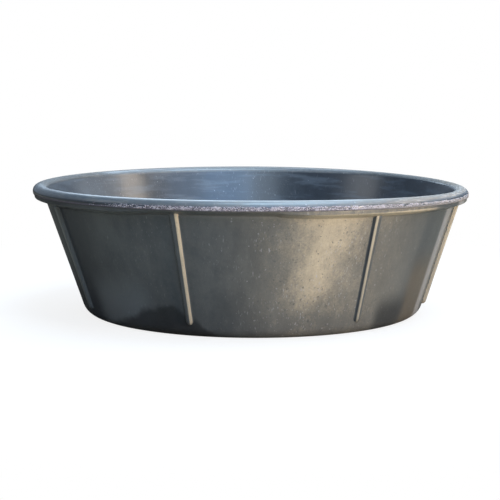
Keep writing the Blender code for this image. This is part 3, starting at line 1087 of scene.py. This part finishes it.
class FEEDPAN_OT_cord_ends(bpy.types.Operator):
    """Frayed cord ends that stand out of the trimmed edge"""

    bl_idname = "feedpan.cord_ends"
    bl_label = "Cord ends"

    def execute(self, context):
        sizes = context.scene.feed_pan_sizes
        section = Section(sizes)
        draw = random.Random(CORD_END_SEED)
        count = int(2 * math.pi * sizes.rim_radius / sizes.cord_pitch)
        points, faces = [], []
        for row, over_cord in enumerate(CORD_END_ROWS):
            for index in range(count):
                angle = (index + row / 3 + draw.uniform(-0.4, 0.4)) * 2 * math.pi / count
                level = CORD_TOP + over_cord + draw.gauss(0, CORD_END_SPREAD)
                width, depth = draw.uniform(*CORD_END_WIDTHS), draw.uniform(*CORD_END_DEPTHS)
                tip = sizes.rim_radius - draw.uniform(*CORD_END_TIPS)
                tip -= section.dome_fall(level, section.dome_level)
                lean = draw.uniform(*CORD_END_LEANS)
                around = Vector((math.sin(angle) * 16, math.cos(angle) * 16, 2 + row))
                crowd = noise.noise(around) + 0.5 * noise.noise(around * 4)
                if crowd >= -0.42 + 0.15 * row + 1.3 * tidiness(angle, 5):
                    self.cord_end(points, faces, sizes, angle, level, width, depth, tip, lean)
        ends = new_piece("cord_ends", points, faces, sizes)
        keep(ends, cord_finish(context.scene.feed_pan_colours))
        return {"FINISHED"}

    def cord_end(self, points, faces, sizes, angle, level, width, depth, tip, lean):
        """Adds one cord end: a rod with flat sides from inside the rim to its tip, which is drawn in."""
        sides = CORD_END_SIDES
        root_depth, taper, tip_size, lean_length = 0.0026, 0.0003, 0.62, 0.002
        root = sizes.rim_radius - root_depth
        start = len(points)
        for radius, size in ((root, 1.0), (tip - taper, 1.0), (tip, tip_size)):
            for side in range(sides):
                turn = 2 * math.pi * side / sides
                across = size * width * math.cos(turn) + lean * (radius - root) / lean_length
                up = size * depth * math.sin(turn) + level
                points.append(round_the_axis(radius, angle + across / radius, up))
        for low in (start, start + sides):
            high = low + sides
            for side in range(sides):
                after = (side + 1) % sides
                faces.append((low + side, low + after, high + after, high + side))
        faces.append(tuple(start + side for side in reversed(range(sides))))
        faces.append(tuple(start + 2 * sides + side for side in range(sides)))


def graded(share, stops):
    """The value at this share of a rib's half width, between (share, value) stops."""
    for (low, start), (high, end) in zip(stops, stops[1:]):
        if share < high:
            return start + (end - start) * max(0, share - low) / (high - low)
    return stops[-1][1]


def rib_section(width, height, dust_and_light_stops):
    """A rib's section as (across, out, dusty) points, from right to left. dusty is the share of dust and
    painted light.
    """
    draft, root_round, shoulder_round, sunk = 0.28, 0.0009, 0.0021, 0.0005
    height_for_full_rounds = 0.0035
    root_steps, shoulder_steps, crest_steps = 4, 6, 5
    scale = min(1, height / height_for_full_rounds)
    root, shoulder = root_round * scale, shoulder_round * scale
    half = width / 2
    right = [(half + root, -sunk)]
    for step in range(root_steps + 1):
        turn = math.pi / 2 * step / root_steps
        across = half + root * (1 - math.sin(turn)) - draft * root * (1 - math.cos(turn))
        right.append((across, root * (1 - math.cos(turn))))
    lean = draft * (height - shoulder)
    for step in range(shoulder_steps + 1):
        turn = math.pi / 2 * step / shoulder_steps
        across = half - lean - shoulder * (1 - math.cos(turn))
        right.append((across, height - shoulder * (1 - math.sin(turn))))
    flat = half - lean - shoulder
    crest = [(flat * step / crest_steps, height) for step in range(crest_steps - 1, -crest_steps, -1)]
    left = [(-across, out) for across, out in reversed(right)]
    return [(across, out, graded(across / half, dust_and_light_stops)) for across, out in right + crest + left]


class FEEDPAN_OT_ribs(bpy.types.Operator):
    """Ribs up the outside of the wall, each run into the wall and ending just below the rim"""

    bl_idname = "feedpan.ribs"
    bl_label = "Ribs"

    def execute(self, context):
        sizes = context.scene.feed_pan_sizes
        finish = rib_finish(context.scene.feed_pan_colours)
        gap = (2 * math.pi - sizes.front_panel) / (sizes.rib_count - 1)
        for index in range(sizes.rib_count):
            angle = sizes.front_panel / 2 + gap * index
            # The front rib is painted pale over its crest, the others on one flank: dust and painted light
            dust_and_light_stops = DUST_AND_LIGHT_OVER_CREST if index == 0 else DUST_AND_LIGHT_ON_FLANK
            rib = self.rib(f"rib_{index + 1}_skin", angle, dust_and_light_stops, sizes)
            keep(rib, finish, (f"rib_{index + 1}",))
        return {"FINISHED"}

    def stations(self, length):
        """Places along a rib as (distance from its foot, share of its full section)."""
        places = []
        for step in range(RIB_FOOT_STEPS + 1):
            turn = RIB_FOOT_START + RIB_FOOT_TURN * step / RIB_FOOT_STEPS
            places.append((RIB_FOOT_LENGTH * (1 - math.cos(turn)), math.sin(turn)))
        for step in range(1, RIB_BODY_STEPS + 1):
            along = RIB_FOOT_LENGTH + (length - RIB_FOOT_LENGTH) * step / RIB_BODY_STEPS
            places.append((along, 1.0))
        return places

    def rib(self, name, angle, dust_and_light_stops, sizes):
        """One rib at this angle, from its foot to just below the lip."""
        section = Section(sizes)
        foot = Vector((section.wall_radius(0, sizes.rib_foot_level), sizes.rib_foot_level))
        trim = lip_rise((angle + math.pi) % (2 * math.pi) - math.pi, sizes)
        top = sizes.lip_level - RIB_END_GAP + RIB_TRIM_SHARE * trim
        length = (top - sizes.rib_foot_level) / section.rise.y
        side = Vector((math.cos(angle), math.sin(angle), 0))
        points, flank, rings = [], [], []
        for along, fullness in self.stations(length):
            width = sizes.rib_foot_width + (sizes.rib_top_width - sizes.rib_foot_width) * along / length
            ring = rib_section(width * fullness, sizes.rib_height * fullness, dust_and_light_stops)
            # Turn the section so that its pale flank, of dust and painted light, is on the lit side
            if math.sin(DUSTY_LIT_SIDE - angle) < 0:
                ring = [(-across, out, dusty) for across, out, dusty in reversed(ring)]
            rings.append(range(len(points), len(points) + len(ring)))
            for across, out, dusty in ring:
                place = foot + section.rise * along + section.out * out
                points.append(round_the_axis(place.x, angle, place.y) + side * across)
                flank.append(dusty)
        ends = [tuple(rings[0]), tuple(reversed(rings[-1]))]
        rib = new_piece(name, points, joined(rings) + ends, sizes)
        rib.data.attributes.new("dusty_lit_flank", "FLOAT", "POINT").data.foreach_set("value", flank)
        return rib


def add_lamp(direction, name, turn, elevation, distance, size, power, colour):
    """A soft rectangular lamp aimed at the pan, turned on from a direction that is in radians."""
    lamp = bpy.data.lights.new(name, "AREA")
    lamp.shape = "RECTANGLE"
    lamp.size, lamp.size_y = size
    lamp.energy = power
    lamp.color = colour
    made = bpy.data.objects.new(name, lamp)
    rise = math.radians(elevation)
    reach, level = distance * math.cos(rise), distance * math.sin(rise)
    made.location = round_the_axis(reach, direction + math.radians(turn), level)
    made.rotation_euler = (LAMP_AIM - made.location).to_track_quat("-Z", "Y").to_euler()
    made.visible_camera = False
    bpy.context.scene.collection.objects.link(made)


class FEEDPAN_OT_stage(bpy.types.Operator):
    """Plain pale floor, soft lamps, world and camera"""

    bl_idname = "feedpan.stage"
    bl_label = "Studio"

    def execute(self, context):
        scene = context.scene
        studio = scene.feed_pan_studio
        scene.view_settings.view_transform = "Standard"
        self.floor(scene)
        self.world(scene)
        add_lamp(studio.key_direction, *LOW_LAMP)
        for lamp in OTHER_LAMPS:
            add_lamp(studio.sky_direction, *lamp)
        self.camera(scene, studio)
        return {"FINISHED"}

    def floor(self, scene):
        """A floor that the camera sees nearly white, with the pan's shadow, and the pan sees darker."""
        mesh = bpy.data.meshes.new("floor")
        corners = [(x * FLOOR_REACH, y * FLOOR_REACH, 0) for x, y in ((-1, -1), (1, -1), (1, 1), (-1, 1))]
        mesh.from_pydata(corners, [], [(0, 1, 2, 3)])
        floor = bpy.data.objects.new("floor", mesh)
        scene.collection.objects.link(floor)
        material = bpy.data.materials.new("studio_floor")
        material.use_nodes = True
        material.node_tree.nodes.clear()
        w = Wiring(material.node_tree)
        rays = w.add("ShaderNodeLightPath").outputs
        ground = w.mix(rays["Is Glossy Ray"], WARM_GROUND, REFLECTED_GROUND)
        bounce = w.add("ShaderNodeBsdfDiffuse", {"Color": ground}).outputs[0]
        lit = w.add("ShaderNodeBsdfDiffuse", {"Color": scene.feed_pan_colours.floor}).outputs[0]
        white = w.add("ShaderNodeEmission", {"Color": WHITE, "Strength": 1.0}).outputs[0]
        away = w.vector("LENGTH", w.surface())["Value"]
        share = w.smooth(away, *FLOOR_FADE, 0.84, 1.0)
        pale = w.add("ShaderNodeMixShader", {0: share, 1: lit, 2: white}).outputs[0]
        both = w.add("ShaderNodeMixShader", {0: rays["Is Camera Ray"], 1: bounce, 2: pale}).outputs[0]
        w.add("ShaderNodeOutputMaterial", {"Surface": both})
        mesh.materials.append(material)

    def world(self, scene):
        """White where the camera sees it. Elsewhere it is a dim blue light that fades upwards."""
        world = bpy.data.worlds.new("studio_world")
        world.use_nodes = True
        scene.world = world
        world.node_tree.nodes.clear()
        w = Wiring(world.node_tree)
        rays = w.add("ShaderNodeLightPath").outputs
        up = w.height(w.add("ShaderNodeTexCoord").outputs["Generated"])
        strength = w.smooth(up, 0.0, 0.45, 0.42, 0.15)
        soft = w.add("ShaderNodeBackground", {"Color": SKY, "Strength": strength}).outputs[0]
        white = w.add("ShaderNodeBackground", {"Color": WHITE, "Strength": 1.0}).outputs[0]
        both = w.add("ShaderNodeMixShader", {0: rays["Is Camera Ray"], 1: soft, 2: white}).outputs[0]
        w.add("ShaderNodeOutputWorld", {"Surface": both})

    def camera(self, scene, studio):
        data = bpy.data.cameras.new("camera")
        data.lens = studio.lens
        data.sensor_width = SENSOR_WIDTH
        camera = bpy.data.objects.new("camera", data)
        direction = studio.camera_direction
        camera.location = round_the_axis(studio.camera_distance, direction, studio.camera_height)
        heading = Matrix.Rotation(direction, 4, "Z")
        look_down = Matrix.Rotation(math.pi / 2 - studio.camera_pitch, 4, "X")
        lean = Matrix.Rotation(-studio.camera_roll, 4, "Z")
        camera.rotation_euler = (heading @ look_down @ lean).to_euler()
        scene.collection.objects.link(camera)
        scene.camera = camera


OPERATORS = (
    FEEDPAN_OT_cover,
    FEEDPAN_OT_liner,
    FEEDPAN_OT_inner_layers,
    FEEDPAN_OT_trimmed_edge,
    FEEDPAN_OT_cord_ends,
    FEEDPAN_OT_ribs,
    FEEDPAN_OT_stage,
)


class FEEDPAN_PT_panel(bpy.types.Panel):
    """Sidebar panel of the feed pan"""

    bl_idname = "FEEDPAN_PT_panel"
    bl_label = "Feed pan"
    bl_space_type = "VIEW_3D"
    bl_region_type = "UI"
    bl_category = "Feed pan"

    def draw(self, context):
        scene = context.scene
        for settings in (scene.feed_pan_sizes, scene.feed_pan_colours, scene.feed_pan_studio):
            box = self.layout.box()
            for name in settings.__annotations__:
                box.prop(settings, name)
        for operator in OPERATORS:
            self.layout.operator(operator.bl_idname)


SETTINGS = {
    "feed_pan_sizes": FeedPanSizes,
    "feed_pan_colours": FeedPanColours,
    "feed_pan_studio": FeedPanStudio,
}


def register():
    for name, kind in SETTINGS.items():
        bpy.utils.register_class(kind)
        setattr(bpy.types.Scene, name, PointerProperty(type=kind))
    for kind in (*OPERATORS, FEEDPAN_PT_panel):
        bpy.utils.register_class(kind)


def unregister():
    for kind in (FEEDPAN_PT_panel, *reversed(OPERATORS)):
        bpy.utils.unregister_class(kind)
    for name, kind in SETTINGS.items():
        delattr(bpy.types.Scene, name)
        bpy.utils.unregister_class(kind)


def main():
    register()
    bpy.ops.feedpan.cover()
    bpy.ops.feedpan.liner()
    bpy.ops.feedpan.inner_layers()
    bpy.ops.feedpan.trimmed_edge()
    bpy.ops.feedpan.cord_ends()
    bpy.ops.feedpan.ribs()
    bpy.ops.feedpan.stage()
    bpy.context.view_layer.update()


if __name__ == "__main__":
    main()
